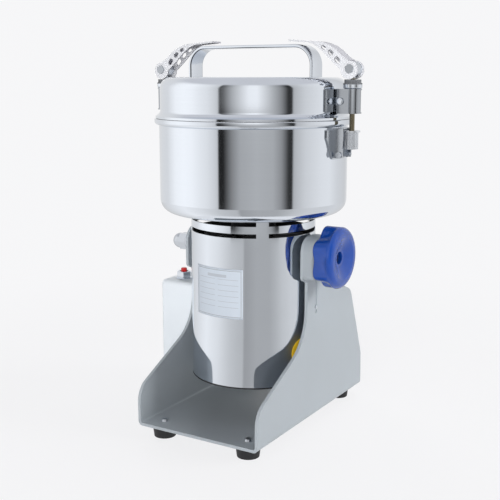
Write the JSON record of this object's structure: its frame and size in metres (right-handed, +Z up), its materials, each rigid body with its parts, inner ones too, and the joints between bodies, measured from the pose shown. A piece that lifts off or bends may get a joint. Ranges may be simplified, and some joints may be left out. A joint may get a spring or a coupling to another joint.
{
  "type": "electric spice grinder",
  "caption": "Swing-type electric spice grinder: steel motor and bowl tilting in a grey sheet stand, lid held by cam-lever draw latches, blue clamp knob.",
  "frame": {"origin": "on the table, below the middle of the stand", "axes": "+Z up, X along the tilt pivot with the clamp knob at +X, the stand's open front at -Y"},
  "size_m": [0.236, 0.23, 0.393],
  "materials": {
    "grey_paint": "grey powder coat, satin",
    "mirror_steel": "mirror-polished stainless steel",
    "satin_steel": "satin stainless steel",
    "bright_steel": "bright plated steel",
    "light_metal": "polished, pale",
    "zinc_steel": "yellow zinc plate",
    "plain_steel": "machined",
    "core_steel": "laminated sheet",
    "copper": "enamelled copper wire",
    "brass": "machined",
    "cast_alloy": "as cast",
    "blue_plastic": "glossy",
    "black_plastic": "matt",
    "carbon": "matt",
    "red_plastic": "glossy",
    "white_paint": "white powder coat",
    "black_rubber": "matt",
    "pale_rubber": "food-grade silicone"
  },
  "bodies": {
    "stand": {"base_bracket": "grey_paint", "pivot_pad": "grey_paint", "pivot_bushes": "black_plastic", "rubber_feet": "black_rubber", "stand_screws": "bright_steel", "control_box": "white_paint", "breaker_body": "black_plastic", "breaker_nut": "bright_steel", "switch_housing": "black_plastic", "cable_gland": "black_plastic"},
    "reset_button": {"reset_button": "red_plastic"},
    "switch_rocker": {"switch_rocker": "red_plastic"},
    "motor_unit": {"motor_housing": "mirror_steel", "bottom_cover": "black_plastic", "pivot_studs": "bright_steel", "pivot_washer": "bright_steel", "jam_nut": "bright_steel", "cap_nut": "bright_steel", "upper_end_plate": "cast_alloy", "lower_end_plate": "cast_alloy", "upper_bearing": "plain_steel", "lower_bearing": "plain_steel", "stator_core": "core_steel", "field_coils": "copper", "brush_holders": "brass", "carbon_brushes": "carbon", "bowl": "satin_steel", "shaft_seal": "black_rubber", "bowl_catches": "bright_steel", "catch_rivets": "bright_steel"},
    "clamp_knob": {"clamp_knob": "blue_plastic", "knob_insert": "brass"},
    "rotor": {"motor_shaft": "plain_steel", "armature_core": "core_steel", "armature_winding": "copper", "commutator": "copper", "cooling_fan": "black_plastic", "lower_blade": "plain_steel", "middle_blade": "plain_steel", "upper_blade": "plain_steel", "blade_spacers": "plain_steel", "blade_nut": "plain_steel"},
    "lid": {"lid": "satin_steel", "lid_gasket": "pale_rubber", "lid_handle": "bright_steel", "latch_lugs": "bright_steel", "saddle_pins": "bright_steel", "lug_rivets": "bright_steel"},
    "saddle_left": {"latch_saddle_left": "bright_steel", "cup_washer_left": "bright_steel"},
    "rod_left": {"latch_rod_left": "zinc_steel", "lever_pin_left": "bright_steel"},
    "lever_left": {"latch_lever_left": "light_metal"},
    "nut_left": {"latch_nut_left": "light_metal"},
    "saddle_right": {"latch_saddle_right": "bright_steel", "cup_washer_right": "bright_steel"},
    "rod_right": {"latch_rod_right": "zinc_steel", "lever_pin_right": "bright_steel"},
    "lever_right": {"latch_lever_right": "light_metal"},
    "nut_right": {"latch_nut_right": "light_metal"}
  },
  "joints": [
    {"name": "tilt", "type": "hinge", "parent": "stand", "child": "motor_unit", "pos_m": [0, -0.0065, 0.183], "axis": [1, 0, 0], "range_deg": [0, 90]},
    {"name": "knob_turn", "type": "hinge", "parent": "motor_unit", "child": "clamp_knob", "pos_m": [0.09, -0.0065, 0.183], "axis": [1, 0, 0], "continuous": true},
    {"name": "rotor_spin", "type": "hinge", "parent": "motor_unit", "child": "rotor", "pos_m": [0, -0.0065, 0.2], "axis": [0, 0, 1], "continuous": true},
    {"name": "lid_lift", "type": "slide", "parent": "motor_unit", "child": "lid", "axis": [0, 0, 1], "range_m": [0, 0.07]},
    {"name": "reset_trip", "type": "slide", "parent": "stand", "child": "reset_button", "axis": [0, 0, 1], "range_m": [0, 0.003]},
    {"name": "switch_throw", "type": "hinge", "parent": "stand", "child": "switch_rocker", "pos_m": [-0.111, 0.0135, 0.096], "axis": [0, -1, 0], "range_deg": [0, 14]},
    {"name": "latch_swing_left", "type": "hinge", "parent": "lid", "child": "saddle_left", "pos_m": [-0.1004, -0.0065, 0.335], "axis": [0, -1, 0], "range_deg": [0, 7]},
    {"name": "rod_drop_left", "type": "slide", "parent": "saddle_left", "child": "rod_left", "axis": [0, 0, -1], "range_m": [0, 0.00197]},
    {"name": "lever_flip_left", "type": "hinge", "parent": "rod_left", "child": "lever_left", "pos_m": [-0.109, -0.0065, 0.365], "axis": [0, -1, 0], "range_deg": [0, 110]},
    {"name": "nut_turn_left", "type": "hinge", "parent": "rod_left", "child": "nut_left", "pos_m": [-0.109, -0.0065, 0.298], "axis": [0, 0, 1], "continuous": true},
    {"name": "latch_swing_right", "type": "hinge", "parent": "lid", "child": "saddle_right", "pos_m": [0.1004, -0.0065, 0.335], "axis": [0, 1, 0], "range_deg": [0, 7]},
    {"name": "rod_drop_right", "type": "slide", "parent": "saddle_right", "child": "rod_right", "axis": [0, 0, -1], "range_m": [0, 0.00197]},
    {"name": "lever_flip_right", "type": "hinge", "parent": "rod_right", "child": "lever_right", "pos_m": [0.109, -0.0065, 0.365], "axis": [0, 1, 0], "range_deg": [0, 110]},
    {"name": "nut_turn_right", "type": "hinge", "parent": "rod_right", "child": "nut_right", "pos_m": [0.109, -0.0065, 0.298], "axis": [0, 0, 1], "continuous": true}
  ],
  "couplings": [
    {"joint": "lever_flip_left", "follows": "rod_drop_left", "rad_per_m": 974.5},
    {"joint": "lever_flip_right", "follows": "rod_drop_right", "rad_per_m": 974.5}
  ]
}
